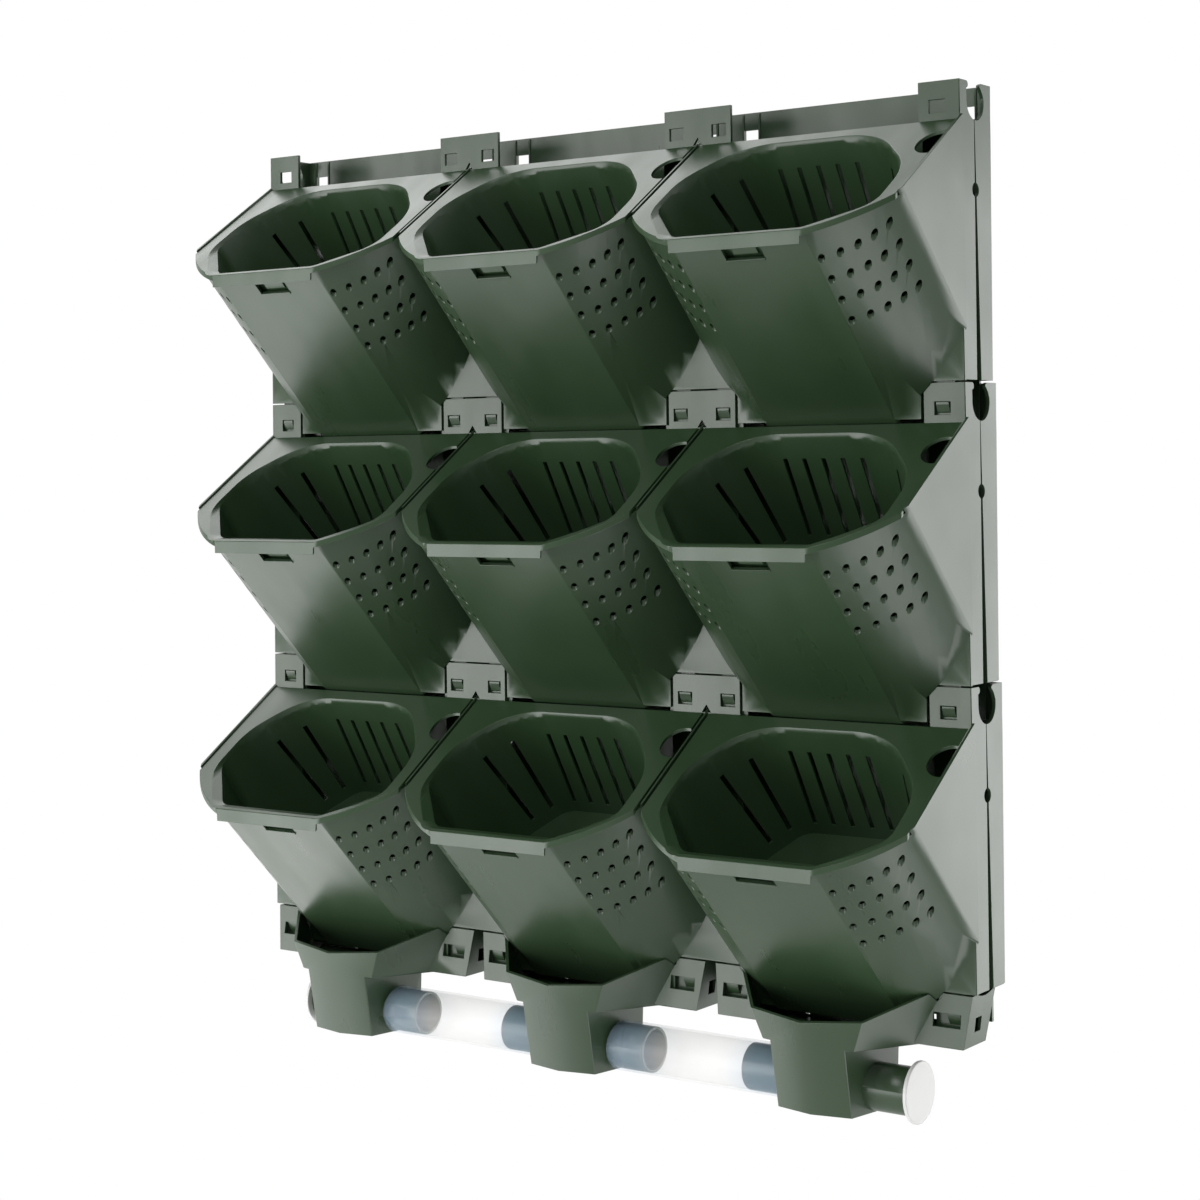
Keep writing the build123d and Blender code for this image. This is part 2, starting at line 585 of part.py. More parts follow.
def mouth_corners(skin):
    """Outline of the mouth in the deck's top face, grown by skin."""
    front = deck_y(facet_foot(LIP_OUT)) + RIM - skin
    back = MOUTH_BACK_Y + skin
    side = RIGHT_SIDE_X + skin
    right = [(RIGHT_BACK_X + skin / 2, back, RIGHT_BACK_R), (side, RIGHT_SHOULDER_Y, RIGHT_SHOULDER_R)]
    right += [(side, RIGHT_WAIST_Y - skin / 2, RIGHT_WAIST_R), (RIGHT_FRONT_X, front, FRONT_R)]
    side = LEFT_SIDE_X + skin
    left = [(LEFT_BACK_X + skin / 2, back, LEFT_BACK_R), (side, LEFT_SHOULDER_Y, LEFT_SHOULDER_R)]
    left += [(side, LEFT_WAIST_Y - skin / 2, LEFT_WAIST_R), (LEFT_FRONT_X, front, FRONT_R)]
    return joined(right, left)


def neck_corners(skin):
    """Outline of the funnel's neck, level with the top of the pocket facets, grown by skin."""
    wall = deck_y(FOOT_Z + WALL_DROP) + WALL * FACET_STRETCH / SLOPE
    front = wall + SEAT_GAP + CUP - skin
    back = MOUTH_BACK_Y + skin
    lift = NECK_WAIST_IN - skin / 2
    side = RIGHT_SIDE_X - NECK_IN + skin
    right = [(RIGHT_BACK_X + skin / 2, back, RIGHT_BACK_R), (side, RIGHT_SHOULDER_Y, RIGHT_SHOULDER_R)]
    right += [(side, RIGHT_WAIST_Y + lift, NECK_WAIST_R), (NECK_FRONT_HALF, front, FRONT_R)]
    side = LEFT_SIDE_X - NECK_IN + skin
    left = [(LEFT_BACK_X + skin / 2, back, LEFT_BACK_R), (side, LEFT_SHOULDER_Y, LEFT_SHOULDER_R)]
    left += [(side, LEFT_WAIST_Y + lift, NECK_WAIST_R), (NECK_FRONT_HALF, front, FRONT_R)]
    return joined(right, left)


def floor_corners(skin, drop):
    """Outline of the cup at its floor, which lies below the deck by drop, grown by skin."""
    grow = skin - WALL - CUP_GAP - CUP - CUP_DRAFT
    foot = facet_foot(grow)
    side = FLOOR_SIDE_HALF + skin
    back = FLOOR_BACK_Y + skin
    corners = [(FLOOR_BACK_HALF + skin / 2, back, FLOOR_BACK_R), (side, back - FLOOR_STEP, FLOOR_SIDE_R)]
    corners.append((side, deck_y(bow_foot(side, grow) + drop), FLOOR_R))
    corners.append((bow_x(foot, grow), deck_y(foot + drop), FLOOR_R))
    return joined(corners, corners)


def cup_solid(skin):
    """Funnel from the mouth down to the neck, and cup from the neck down to the floor, grown by skin."""
    drop = FLOOR_DROP - (CUP - skin) * math.hypot(1, DECK_TAN)
    mouth = rounded(on_deck(mouth_corners(skin)), deck_plane(0))
    neck = rounded(on_deck(neck_corners(skin)), deck_plane(WALL_DROP))
    floor = rounded(on_deck(floor_corners(skin, drop)), deck_plane(drop))
    return loft([mouth, neck], ruled=True) + loft([neck, floor], ruled=True)


def rear_y(drop):
    """Y of the cup's rear wall where it lies below the deck by drop."""
    return MOUTH_BACK_Y + (FLOOR_BACK_Y - MOUTH_BACK_Y) * (drop - WALL_DROP) / (FLOOR_DROP - WALL_DROP)


def slit(top, foot, turn):
    """Cutter for one slit between two points in plan, square to the cup's wall."""
    start = Vector(*top, deck_z(top[1]) - SLIT_TOP_DROP)
    along = Vector(*foot, deck_z(foot[1]) - SLIT_FOOT_DROP) - start
    outward = Vector(math.sin(math.radians(turn)), math.cos(math.radians(turn)), 0)
    frame = Plane(origin=start + along / 2, x_dir=along, z_dir=along.cross(outward))
    return frame * Box(along.length, SLIT_CUT, SLIT)


def liner():
    """Lift-out pot: sloping deck with its skirt, slotted cup, feed notch and catch tongue."""
    deck = Pos(0, 0, FOOT_Z) * extrude(lip_face(LIP_OUT), -FOOT_Z)
    deck = over_deck(under_deck(deck, 0), -DECK)
    hollow = cup_solid(0)
    body = deck + skirt() + cup_solid(CUP) - hollow
    slits = [slit((x0, y0), (x1, y1), turn) for x0, y0, x1, y1, turn in CORNER_SLITS]
    for i in range(SLIT_COUNT):
        x = SLIT_MIDDLE + (i - (SLIT_COUNT - 1) / 2) * SLIT_PITCH
        slits.append(slit((x, rear_y(SLIT_TOP_DROP)), (x, rear_y(SLIT_FOOT_DROP)), 0))
    body = body - slits
    feed = Pos(FEED_HOLE_X, FEED_HOLE_Y, 0) * Cylinder(FEED_HOLE_R, 2 * REACH)
    body = body - over_deck(feed, -2 * DECK)
    length = WINDOW_LENGTH - 2 * SILL
    catch = on_front(WINDOW_FROM + SILL, 2 * CATCH_HALF, length, -4 * WALL, -WALL - CATCH_GAP)
    return body + (catch - hollow)


def pare(solid, points, inset):
    """Trim a block on both sides with the plane through three points, moved in by inset."""
    a, b, c = (Vector(*point) for point in points)
    normal = (b - a).cross(c - a).normalized()
    if normal.dot(a - Vector(0, 0, LEDGE_Z)) < 0:
        normal = normal * -1
    start = a - normal * inset
    return trim(trim(solid, start, normal), flip(start), flip(normal))


def hopper_form(inset, top):
    """Funnel under the pocket, as a convex block with its walls moved in by inset."""
    rim = (HOPPER_FRONT_HALF, HOPPER_FRONT_Y, HOPPER_FRONT_Z)
    nose = [(0, HOPPER_NOSE_Y, HOPPER_FRONT_Z), rim, (0, SUMP_NOSE_Y, SUMP_FOOT_Z)]
    flank = [rim, (HOPPER_BACK_HALF, 0, HOPPER_BACK_Z), (LEDGE_HALF, 0, LEDGE_Z)]
    solid = block(-HALF, HALF, 2 * HOPPER_NOSE_Y, HOPPER_REAR_Y - inset, LEDGE_Z + inset, top)
    return pare(pare(solid, nose, inset), flank, inset)


def sump_form(inset):
    """Cup under the hopper, as a convex block with its walls moved in by inset."""
    nose = [(0, HOPPER_NOSE_Y, HOPPER_FRONT_Z), (HOPPER_FRONT_HALF, HOPPER_FRONT_Y, HOPPER_FRONT_Z)]
    nose += [(0, SUMP_NOSE_Y, SUMP_FOOT_Z)]
    side = [(SUMP_FRONT_HALF, SUMP_NOSE_Y, LEDGE_Z), (SUMP_BACK_HALF, SUMP_BACK_Y, LEDGE_Z)]
    side += [(SUMP_FRONT_HALF - SUMP_TAPER, SUMP_NOSE_Y, SUMP_FOOT_Z)]
    high = LEDGE_Z + 2 * inset + OVER
    solid = block(-HALF, HALF, 2 * HOPPER_NOSE_Y, SUMP_BACK_Y - inset, SUMP_FOOT_Z + inset, high)
    return pare(pare(solid, nose, inset), side, inset)


def wing_form(inset, top):
    """Right wing as a convex block with its walls moved in by inset."""
    drop = TAB_TOP - WING_FOOT_Z
    solid = block(WING_ROOT_X - 2 * inset, HALF, -2 * WING_LEAN, WING_BACK_Y, WING_FOOT_Z + inset, top)
    outer = Vector(drop, 0, WING_TOP_IN - WING_FOOT_IN).normalized()
    solid = trim(solid, (HALF - WING_TOP_IN - inset, 0, TAB_TOP), outer)
    front = Vector(0, -drop, WING_LEAN).normalized()
    solid = trim(solid, (0, WING_FRONT_Y + inset, TAB_TOP), front)
    rear = Vector(0, drop, -WING_BACK_TAPER).normalized()
    return trim(solid, (0, WING_BACK_Y - inset, TAB_TOP), rear)


def wing_dip():
    """Cutter for the hollow in the wing's top edge."""
    y0, y1 = WING_DIP_Y
    arc = ThreePointArc((y0, TAB_TOP), ((y0 + y1) / 2, TAB_TOP - WING_DIP), (y1, TAB_TOP))
    top = Polyline((y1, TAB_TOP), (y1, TAB_TOP + OVER), (y0, TAB_TOP + OVER), (y0, TAB_TOP))
    return extrude(Plane.YZ * make_face([arc, top]), HALF)


def collector(left_reach):
    """Drain collector: hopper under a pocket, cup with two spigots, and wings that clip to the row above."""
    clear_x = HALF - TAB_HALF - TAB_GAP + COLLECTOR_CLEAR
    low_z = -FOOT_DROP - COLLECTOR_CLEAR
    above = 2 * TAB_TOP
    rim_normal = Vector(0, HOPPER_FRONT_Z - HOPPER_BACK_Z, -HOPPER_FRONT_Y).normalized()
    hopper = trim(hopper_form(0, above), (0, HOPPER_FRONT_Y, HOPPER_FRONT_Z), rim_normal)
    wing = wing_form(0, TAB_TOP) - wing_dip()
    plate_room = [block(-clear_x, clear_x, -LAP_GAP, BOX_DEPTH, low_z, above)]
    plate_room += [block(-HALF, HALF, -LAP_GAP, BOX_DEPTH, TAB_TOP, above)]
    pocket_room = Pos(0, 0, PITCH_Z) * pocket_block(COLLECTOR_CLEAR, HALF, 0)
    body = hopper + twin(wing) - plate_room - pocket_room + sump_form(0)
    body = body + bar(-left_reach, -SUMP_FRONT_HALF, SPIGOT_Y, SPIGOT_Z, SPIGOT_R)
    body = body + bar(SUMP_FRONT_HALF, SPIGOT_REACH, SPIGOT_Y, SPIGOT_Z, SPIGOT_R)
    inside = [hopper_form(COLLECTOR_WALL, above), sump_form(COLLECTOR_WALL)]
    body = body - inside - twin(wing_form(COLLECTOR_WALL, above))
    body = body - twin(bar(0, SPIGOT_REACH + OVER, SPIGOT_Y, SPIGOT_Z, SPIGOT_BORE_R))
    inner = HALF - SNAP_OUT - WING_WINDOW
    window = block(inner, HALF - SNAP_IN, -BOX_DEPTH, PLATE + TONGUE_GAP, SNAP_LOW, SNAP_HIGH)
    port = block(HALF - SNAP_OUT, PITCH_X, *WING_PORT_Y, *WING_PORT_Z)
    return body - twin(window) - twin(port)


def tube():
    """Clear sleeve between the spigots of two collectors, its ends cut along the sides of their cups."""
    bore = SPIGOT_R + TUBE_CLEAR
    hollow = bar(-PITCH_X, PITCH_X, SPIGOT_Y, SPIGOT_Z, bore)
    sleeve = bar(-HALF, HALF, SPIGOT_Y, SPIGOT_Z, bore + TUBE) - hollow
    outward = Vector(SUMP_BACK_Y - SUMP_NOSE_Y, SUMP_BACK_HALF - SUMP_FRONT_HALF, 0).normalized()
    end = Vector(HALF - SUMP_FRONT_HALF - TUBE_GAP, SUMP_NOSE_Y, 0)
    return trim(trim(sleeve, end, outward), flip(end), flip(outward))


def plug(reach):
    """Stopper for a right-hand spigot of this reach."""
    seat = reach + PLUG_SEAT
    radius = SPIGOT_BORE_R - PLUG_CLEAR
    body = bar(seat, seat + PLUG_FLANGE, SPIGOT_Y, SPIGOT_Z, PLUG_FLANGE_R)
    body = body + bar(seat - PLUG_STEM, seat + PLUG_FLANGE / 2, SPIGOT_Y, SPIGOT_Z, radius)
    return body - bar(seat - PLUG_STEM - OVER, seat, SPIGOT_Y, SPIGOT_Z, radius - PLUG_WALL)


def place(name, shape, x, z):
    """Move a piece from its own datum to its place on the wall and save it."""
    part = Pos(x, -BOX_DEPTH, z) * shape
    part.label = name
    export_step(part, os.path.join("parts", name + ".step"))


def main():
    os.makedirs("parts", exist_ok=True)
    front = housing()
    rear = back_panel()
    pot = liner()
    for row, z in zip(ROW_NAMES, DATUM_Z):
        place("housing_" + row, front, 0, z)
        place("back_panel_" + row, rear, 0, z)
        for column, x in zip(COLUMN_NAMES, COLUMN_X):
            place("liner_" + row + "_" + column, pot, x, z)
    drain_z = DATUM_Z[-1] - PITCH_Z
    tray = collector(SPIGOT_REACH)
    for column, x in list(zip(COLUMN_NAMES, COLUMN_X))[1:]:
        place("collector_" + column, tray, x, drain_z)
    place("collector_" + COLUMN_NAMES[0], collector(STUB_REACH), COLUMN_X[0], drain_z)
    sleeve = tube()
    for name, x in zip(("left", "right"), SEAM_X):
        place("tube_" + name, sleeve, x, drain_z)
    place("plug_right", plug(SPIGOT_REACH), COLUMN_X[-1], drain_z)
    place("plug_left", mirror(plug(STUB_REACH), about=Plane.YZ), COLUMN_X[0], drain_z)


main()
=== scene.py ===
"""Looks of the wall planter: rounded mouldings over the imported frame, finishes, studio light and camera.

Everything is in metres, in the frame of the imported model: X to the right along the wall, Y into the wall,
Z up, with the wall at Y = 0.
"""
from __future__ import annotations

import logging
import math
from dataclasses import dataclass
from enum import Enum
from typing import ClassVar

import bpy
from mathutils import Matrix, Vector

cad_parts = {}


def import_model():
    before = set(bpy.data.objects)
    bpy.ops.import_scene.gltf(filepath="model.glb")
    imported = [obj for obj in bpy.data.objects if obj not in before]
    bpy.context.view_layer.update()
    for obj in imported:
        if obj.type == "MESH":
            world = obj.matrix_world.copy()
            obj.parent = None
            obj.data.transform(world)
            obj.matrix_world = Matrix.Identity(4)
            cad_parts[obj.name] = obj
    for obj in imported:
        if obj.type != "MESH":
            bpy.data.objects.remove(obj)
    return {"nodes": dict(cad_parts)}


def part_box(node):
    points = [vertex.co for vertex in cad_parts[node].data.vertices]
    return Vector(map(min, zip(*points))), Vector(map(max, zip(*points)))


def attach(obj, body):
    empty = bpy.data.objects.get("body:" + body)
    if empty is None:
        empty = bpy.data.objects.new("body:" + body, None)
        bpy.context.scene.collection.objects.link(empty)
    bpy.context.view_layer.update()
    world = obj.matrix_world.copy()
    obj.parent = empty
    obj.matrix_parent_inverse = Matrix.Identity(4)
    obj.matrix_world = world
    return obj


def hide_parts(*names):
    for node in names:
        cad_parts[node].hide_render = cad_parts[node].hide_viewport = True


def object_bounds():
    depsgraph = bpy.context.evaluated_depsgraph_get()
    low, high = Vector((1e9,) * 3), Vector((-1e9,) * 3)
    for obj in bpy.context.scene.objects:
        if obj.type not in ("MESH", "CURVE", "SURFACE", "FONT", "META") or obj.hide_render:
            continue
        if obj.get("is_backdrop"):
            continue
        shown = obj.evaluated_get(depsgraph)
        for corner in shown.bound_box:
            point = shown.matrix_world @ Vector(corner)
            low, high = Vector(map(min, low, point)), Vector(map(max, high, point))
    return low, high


LOG = logging.getLogger("wall_planter")
COLUMNS = ("left", "mid", "right")
ROWS = ("top", "mid", "low")
FIXED_BODY = "frame"


class Slot(Enum):
    """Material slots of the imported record."""

    BODY = "body_green"
    LINER = "liner_green"
    TUBE = "frosted"
    PLUG = "white"


class Wiring:
    """Node tree of a material or world, with short calls to add and join nodes.

    Attributes:
        WEAK: noise value that counts as weak.
        STRONG: noise value that counts as strong.
    """

    WEAK = 0.3
    STRONG = 0.7

    def __init__(self, tree: bpy.types.NodeTree) -> None:
        """Empty the tree and keep it.

        Args:
            tree: node tree to wire.
        """
        self.tree = tree
        self.tree.nodes.clear()

    def add(self, kind: str, **settings: object) -> bpy.types.Node:
        """Add a node.

        Args:
            kind: node type name.
            settings: attributes to set on the node.

        Returns:
            The new node.
        """
        node = self.tree.nodes.new(kind)
        for name, value in settings.items():
            setattr(node, name, value)
        return node

    def join(self, source: bpy.types.NodeSocket, target: bpy.types.NodeSocket) -> None:
        """Link two sockets.

        Args:
            source: output socket.
            target: input socket.
        """
        self.tree.links.new(source, target)

    def noise(self, place: bpy.types.NodeSocket, scale: float, detail: float) -> bpy.types.NodeSocket:
        """Add a noise texture.

        Args:
            place: coordinates to read.
            scale: waves to the metre.
            detail: number of finer layers.

        Returns:
            The noise value, about 0 to 1.
        """
        node = self.add("ShaderNodeTexNoise")
        node.inputs["Scale"].default_value = scale
        node.inputs["Detail"].default_value = detail
        self.join(place, node.inputs["Vector"])
        return node.outputs[0]

    def stretched(
        self, place: bpy.types.NodeSocket, scale: tuple[float, float, float]
    ) -> bpy.types.NodeSocket:
        """Scale coordinates differently along X, Y and Z.

        Args:
            place: coordinates to read.
            scale: factor on each axis.

        Returns:
            The scaled coordinates.
        """
        node = self.add("ShaderNodeMapping")
        node.inputs["Scale"].default_value = scale
        self.join(place, node.inputs["Vector"])
        return node.outputs["Vector"]

    def between(self, value: bpy.types.NodeSocket, low: float, high: float) -> bpy.types.NodeSocket:
        """Map the middle of a noise value to a range.

        Args:
            value: noise value.
            low: result for weak noise.
            high: result for strong noise.

        Returns:
            The mapped value.
        """
        node = self.add("ShaderNodeMapRange")
        node.inputs["From Min"].default_value = self.WEAK
        node.inputs["From Max"].default_value = self.STRONG
        node.inputs["To Min"].default_value = low
        node.inputs["To Max"].default_value = high
        self.join(value, node.inputs["Value"])
        return node.outputs["Result"]

    def mixed(
        self, value: bpy.types.NodeSocket, low: tuple[float, float, float], high: tuple[float, float, float]
    ) -> bpy.types.NodeSocket:
        """Mix two colours by a noise value.

        Args:
            value: noise value.
            low: colour for weak noise.
            high: colour for strong noise.

        Returns:
            The mixed colour.
        """
        node = self.add("ShaderNodeValToRGB")
        ramp = node.color_ramp.elements
        ramp[0].position = self.WEAK
        ramp[0].color = (*low, 1.0)
        ramp[1].position = self.STRONG
        ramp[1].color = (*high, 1.0)
        self.join(value, node.inputs["Fac"])
        return node.outputs["Color"]

    def bump(
        self, height: bpy.types.NodeSocket, depth: float, under: bpy.types.NodeSocket | None = None
    ) -> bpy.types.NodeSocket:
        """Turn a height into a bent normal.

        Args:
            height: height value, about 0 to 1.
            depth: real depth of the relief in metres.
            under: normal of a coarser relief below this one.

        Returns:
            The bent normal.
        """
        node = self.add("ShaderNodeBump")
        node.inputs["Distance"].default_value = depth
        self.join(height, node.inputs["Height"])
        if under is not None:
            self.join(under, node.inputs["Normal"])
        return node.outputs["Normal"]


@dataclass(frozen=True)
class MouldedPlastic:
    """Opaque moulded plastic with a fine grain, faint sink waves and a hazy, slightly uneven gloss.

    Attributes:
        name: material name.
        shade: darker tone of the colour.
        tint: lighter tone of the colour.
        gloss: roughness where the surface is glossiest.
        haze: roughness where it is dullest.
        wave: depth of the sink waves in metres.
        grain: depth of the grain in metres.
        CLOUDS: waves of the colour to the metre.
        FLOW: waves of the gloss to the metre along X, Y and Z.
        SINK: sink waves to the metre.
        PITS: grain to the metre.
        IOR: refractive index.
    """

    CLOUDS: ClassVar[float] = 16.0
    FLOW: ClassVar[tuple[float, float, float]] = (34.0, 9.0, 9.0)
    SINK: ClassVar[float] = 22.0
    PITS: ClassVar[float] = 1500.0
    IOR: ClassVar[float] = 1.5

    name: str
    shade: tuple[float, float, float]
    tint: tuple[float, float, float]
    gloss: float
    haze: float
    wave: float
    grain: float

    def build(self) -> bpy.types.Material:
        """Wire the material and return it."""
        material = bpy.data.materials.new(self.name)
        material.use_nodes = True
        wiring = Wiring(material.node_tree)
        place = wiring.add("ShaderNodeTexCoord").outputs["Object"]
        shader = wiring.add("ShaderNodeBsdfPrincipled")
        clouds = wiring.noise(place, self.CLOUDS, 4.0)
        wiring.join(wiring.mixed(clouds, self.shade, self.tint), shader.inputs["Base Color"])
        flow = wiring.noise(wiring.stretched(place, self.FLOW), 1.0, 5.0)
        wiring.join(wiring.between(flow, self.gloss, self.haze), shader.inputs["Roughness"])
        sink = wiring.bump(wiring.noise(place, self.SINK, 1.0), self.wave)
        grain = wiring.bump(wiring.noise(place, self.PITS, 2.0), self.grain, sink)
        wiring.join(grain, shader.inputs["Normal"])
        shader.inputs["IOR"].default_value = self.IOR
        wiring.join(shader.outputs["BSDF"], wiring.add("ShaderNodeOutputMaterial").inputs["Surface"])
        return material


@dataclass(frozen=True)
class FrostedPlastic:
    """Thin milky plastic of the tubes, with a painted bluish shade over the ends where a dark spigot stands
    inside and blocks the light through it.

    Attributes:
        name: material name.
        veil: colour of the haze along the open tube.
        painted_spigot_shade: painted shade, the darker bluish colour of the haze over the spigots.
        cover: share of the view that the haze hides.
        roughness: roughness of the skin.
        middle: distance of a tube's middle from the middle of the wall.
        clear: length from a tube's middle that stays pale.
        spigot: length from a tube's middle to the spigots.
        STREAKS: waves of the haze to the metre along X, Y and Z.
        PITS: grain of the skin to the metre.
        GRAIN: depth of that grain in metres.
        IOR: refractive index.
    """

    STREAKS: ClassVar[tuple[float, float, float]] = (12.0, 60.0, 60.0)
    PITS: ClassVar[float] = 900.0
    GRAIN: ClassVar[float] = 0.00002
    IOR: ClassVar[float] = 1.45

    name: str
    veil: tuple[float, float, float]
    painted_spigot_shade: tuple[float, float, float]
    cover: float
    roughness: float
    middle: float
    clear: float
    spigot: float

    def painted_shade_mask(self, wiring: Wiring, place: bpy.types.NodeSocket) -> bpy.types.NodeSocket:
        """Measure how far a point lies along its tube, as the mask of the painted shade over the spigots.

        Args:
            wiring: tree to add the nodes to.
            place: coordinates to read.

        Returns:
            0 along the open tube, 1 over the spigots.
        """
        axes = wiring.add("ShaderNodeSeparateXYZ")
        wiring.join(place, axes.inputs["Vector"])
        aside = wiring.add("ShaderNodeMath", operation="ABSOLUTE")
        wiring.join(axes.outputs["X"], aside.inputs[0])
        apart = wiring.add("ShaderNodeMath", operation="SUBTRACT")
        wiring.join(aside.outputs[0], apart.inputs[0])
        apart.inputs[1].default_value = self.middle
        length = wiring.add("ShaderNodeMath", operation="ABSOLUTE")
        wiring.join(apart.outputs[0], length.inputs[0])
        span = wiring.add("ShaderNodeMapRange", interpolation_type="SMOOTHSTEP")
        wiring.join(length.outputs[0], span.inputs["Value"])
        span.inputs["From Min"].default_value = self.clear
        span.inputs["From Max"].default_value = self.spigot
        return span.outputs["Result"]

    def build(self) -> bpy.types.Material:
        """Wire the material and return it."""
        material = bpy.data.materials.new(self.name)
        material.use_nodes = True
        wiring = Wiring(material.node_tree)
        place = wiring.add("ShaderNodeTexCoord").outputs["Object"]
        shader = wiring.add("ShaderNodeBsdfPrincipled")
        streaks = wiring.noise(wiring.stretched(place, self.STREAKS), 1.0, 3.0)
        paler = tuple(0.5 + 0.5 * tone for tone in self.veil)
        # the haze turns to the painted shade over the spigots
        haze = wiring.add("ShaderNodeMix", data_type="RGBA")
        wiring.join(self.painted_shade_mask(wiring, place), haze.inputs["Factor"])
        wiring.join(wiring.mixed(streaks, self.veil, paler), haze.inputs["A"])
        haze.inputs["B"].default_value = (*self.painted_spigot_shade, 1.0)
        wiring.join(haze.outputs["Result"], shader.inputs["Base Color"])
        skin = wiring.bump(wiring.noise(place, self.PITS, 2.0), self.GRAIN)
        wiring.join(skin, shader.inputs["Normal"])
        shader.inputs["Roughness"].default_value = self.roughness
        shader.inputs["Alpha"].default_value = self.cover
        shader.inputs["IOR"].default_value = self.IOR
        wiring.join(shader.outputs["BSDF"], wiring.add("ShaderNodeOutputMaterial").inputs["Surface"])
        return material


@dataclass(frozen=True)
class EdgeRound:
    """Radius on the outer edges of a moulding.

    Attributes:
        width: width of the rounding between broad faces, in metres.
        fine: share of that width beside narrow faces.
        broad: faces wider than this, in metres, count as broad.
        segments: number of facets across the rounding.
        least_angle: edges flatter than this, in degrees, stay as they are.
        curve_angle: edges flatter than this, in degrees, are shaded as one curve.
        TINY: added to a girth, so that a face without size divides safely.
    """

    TINY: ClassVar[float] = 1e-9

    width: float
    fine: float = 0.4
    broad: float = 0.006
    segments: int = 2
    least_angle: float = 34.0
    curve_angle: float = 31.0

    def weigh(self, mesh: bpy.types.Mesh) -> None:
        """Mark each outer edge with its share of the rounding.

        Args:
            mesh: mesh to mark.
        """
        sides = [[] for _ in mesh.edges]
        for face in mesh.polygons:
            for corner in face.loop_indices:
                sides[mesh.loops[corner].edge_index].append((face, corner))
        spread = [2.0 * face.area / self.girth(mesh, face) for face in mesh.polygons]
        shares = mesh.attributes.new("bevel_weight_edge", "FLOAT", "EDGE")
        turn = math.cos(math.radians(self.least_angle))
        for edge, pair in zip(mesh.edges, sides):
            if len(pair) != 2:
                continue
            (one, corner), (other, _) = pair
            if one.normal.dot(other.normal) > turn:
                continue
            start = mesh.loops[corner].vertex_index
            end = edge.vertices[0] if edge.vertices[1] == start else edge.vertices[1]
            along = mesh.vertices[end].co - mesh.vertices[start].co
            if one.normal.cross(along).dot(other.normal) > 0.0:
                continue
            broad = min(spread[one.index], spread[other.index]) > self.broad
            shares.data[edge.index].value = 1.0 if broad else self.fine

    def girth(self, mesh: bpy.types.Mesh, face: bpy.types.MeshPolygon) -> float:
        """Measure the length round a face.

        Args:
            mesh: mesh that holds the face.
            face: face to measure.

        Returns:
            The length in metres.
        """
        points = [mesh.vertices[index].co for index in face.vertices]
        steps = zip(points, points[1:] + points[:1])
        return sum((here - before).length for before, here in steps) + self.TINY


def only(piece: bpy.types.Object) -> None:
    """Make one object the whole selection.

    Args:
        piece: object to select.
    """
    bpy.ops.object.select_all(action="DESELECT")
    piece.select_set(True)
    bpy.context.view_layer.objects.active = piece


class Moulding:
    """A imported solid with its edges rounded, modelled once and copied to each place where it is used.

    Attributes:
        MERGE: points closer than this, in metres, become one.
        FLAT: faces that meet flatter than this become one.
        AREA_WEIGHT: how strongly large faces set the shading.
    """

    MERGE = 1e-6
    FLAT = math.radians(0.2)
    AREA_WEIGHT = 80

    def __init__(self, nodes: dict[str, bpy.types.Object], members: dict[str, str], edge: EdgeRound) -> None:
        """Keep what the moulding is made from.

        Args:
            nodes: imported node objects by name.
            members: body that each node of this moulding rides on, the pattern first.
            edge: rounding of its edges.
        """
        self.nodes = nodes
        self.members = members
        self.edge = edge

    def pattern(self, node: str) -> bpy.types.Object:
        """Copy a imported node, close its mesh and round its edges.

        Args:
            node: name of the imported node.

        Returns:
            The rounded piece.
        """
        piece = bpy.data.objects.new(node + "_moulding", self.nodes[node].data.copy())
        bpy.context.scene.collection.objects.link(piece)
        only(piece)
        bpy.ops.object.mode_set(mode="EDIT")
        bpy.ops.mesh.select_all(action="SELECT")
        bpy.ops.mesh.remove_doubles(threshold=self.MERGE)
        bpy.ops.mesh.dissolve_limited(angle_limit=self.FLAT)
        bpy.ops.object.mode_set(mode="OBJECT")
        self.edge.weigh(piece.data)
        rounding = piece.modifiers.new("rounding", "BEVEL")
        rounding.width = self.edge.width
        rounding.segments = self.edge.segments
        rounding.limit_method = "WEIGHT"
        rounding.use_clamp_overlap = False
        bpy.ops.object.modifier_apply(modifier=rounding.name)
        bpy.ops.object.shade_smooth_by_angle(angle=math.radians(self.edge.curve_angle))
        flat = piece.modifiers.new("flat_faces", "WEIGHTED_NORMAL")
        flat.mode = "FACE_AREA"
        flat.weight = self.AREA_WEIGHT
        flat.keep_sharp = True
        bpy.ops.object.modifier_apply(modifier=flat.name)
        return piece

    def build(self, finish: bpy.types.Material, slot: Slot) -> list[bpy.types.Object]:
        """Model the pattern, copy it to the other places and dress all of them.

        Args:
            finish: material of the pieces.
            slot: record slot that the finish stands for; not used.

        Returns:
            The finished pieces.
        """
        names = list(self.members)
        first = self.pattern(names[0])
        pieces = [first]
        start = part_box(names[0])[0]
        for node in names[1:]:
            copy = bpy.data.objects.new(node + "_moulding", first.data.copy())
            copy.data.transform(Matrix.Translation(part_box(node)[0] - start))
            bpy.context.scene.collection.objects.link(copy)
            pieces.append(copy)
        for piece, node in zip(pieces, names):
            piece.data.materials.clear()
            piece.data.materials.append(finish)
            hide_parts(node)
            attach(piece, self.members[node])
            LOG.info("%s: %d faces on %s", piece.name, len(piece.data.polygons), self.members[node])
        return pieces


